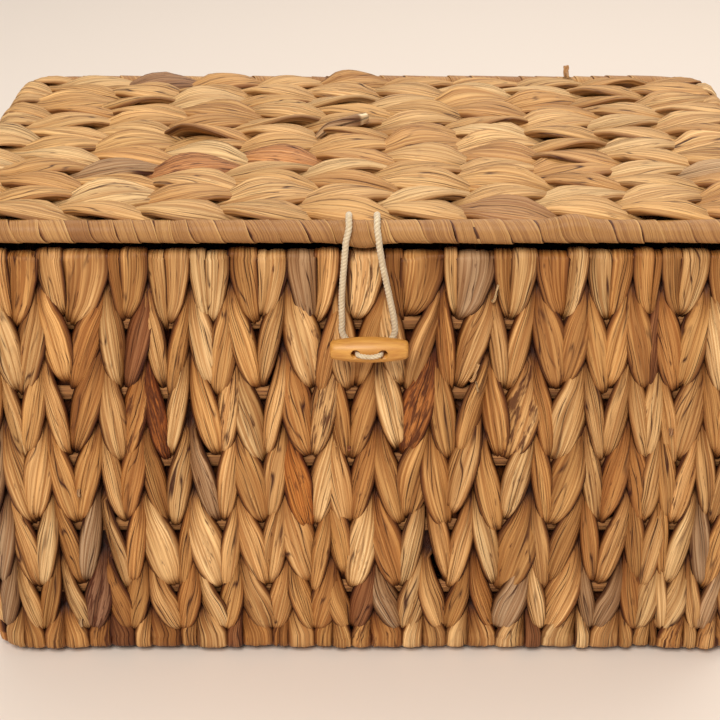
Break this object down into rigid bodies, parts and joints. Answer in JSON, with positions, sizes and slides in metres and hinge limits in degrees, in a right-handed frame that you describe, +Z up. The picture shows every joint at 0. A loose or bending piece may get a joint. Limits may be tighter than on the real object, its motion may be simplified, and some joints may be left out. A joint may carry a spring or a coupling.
{
  "type": "woven lidded box",
  "caption": "Rectangular lidded storage box of twined plant-leaf strands on a wire frame, with a tied-on hinged lid, a cord loop and a wooden toggle that fastens it.",
  "frame": {"origin": "middle of the flat underside, on the surface that the box stands on", "axes": "+Z up, +X to the right along the long side, the front with the toggle faces -Y"},
  "size_m": [0.36, 0.2463, 0.2267],
  "materials": {
    "leaf_strand": "dried water-hyacinth leaf, matt with a faint sheen along the fibres",
    "rim_strip": "smooth split leaf strip, satin",
    "stem_stake": "fibrous dried stem, matt",
    "frame_wire": "dark lacquered iron wire",
    "cotton_cord": "natural twisted cotton, matt",
    "toggle_wood": "turned light wood, satin varnish"
  },
  "bodies": {
    "body": {"front_weave": "leaf_strand", "right_weave": "leaf_strand", "back_weave": "leaf_strand", "left_weave": "leaf_strand", "base_weave": "leaf_strand", "rim_wire": "frame_wire", "base_ring": "frame_wire", "hoop_1": "stem_stake", "hoop_2": "stem_stake", "hoop_3": "stem_stake", "hoop_4": "stem_stake", "hoop_5": "stem_stake", "corner_post_1": "frame_wire", "corner_post_2": "frame_wire", "corner_post_3": "frame_wire", "corner_post_4": "frame_wire", "base_stake_1": "stem_stake", "base_stake_2": "stem_stake", "base_stake_3": "stem_stake", "base_stake_4": "stem_stake", "base_stake_5": "stem_stake", "base_stake_6": "stem_stake", "base_stake_7": "stem_stake", "base_stake_8": "stem_stake", "base_stake_9": "stem_stake", "hinge_tie_left": "rim_strip", "hinge_tie_right": "rim_strip", "toggle_shank": "cotton_cord"},
    "lid": {"lid_weave": "leaf_strand", "lid_rim_wire": "frame_wire", "lid_wrap_front": "rim_strip", "lid_wrap_right": "rim_strip", "lid_wrap_back": "rim_strip", "lid_wrap_left": "rim_strip", "lid_stake_1": "stem_stake", "lid_stake_2": "stem_stake", "lid_stake_3": "stem_stake", "lid_stake_4": "stem_stake", "lid_stake_5": "stem_stake", "lid_stake_6": "stem_stake", "lid_stake_7": "stem_stake", "lid_stake_8": "stem_stake", "lid_stake_9": "stem_stake", "lid_stake_10": "stem_stake", "loop_end_left": "cotton_cord", "loop_end_right": "cotton_cord"},
    "loop": {"closing_loop": "cotton_cord"},
    "toggle": {"toggle": "toggle_wood", "toggle_lacing": "cotton_cord"}
  },
  "joints": [
    {"name": "lid_hinge", "type": "hinge", "parent": "body", "child": "lid", "pos_m": [0, 0.108, 0.215], "axis": [-1, 0, 0], "range_deg": [0, 110], "deforming": ["closing_loop"]},
    {"name": "loop_swing", "type": "hinge", "parent": "lid", "child": "loop", "pos_m": [0, -0.108, 0.215], "axis": [-1, 0, 0], "range_deg": [-90, 0]},
    {"name": "toggle_turn", "type": "hinge", "parent": "body", "child": "toggle", "pos_m": [0, -0.1216, 0.167], "axis": [0, -1, 0], "range_deg": [-90, 90]}
  ],
  "couplings": [
    {"joint": "loop_swing", "follows": "lid_hinge", "ratio": -0.8}
  ]
}
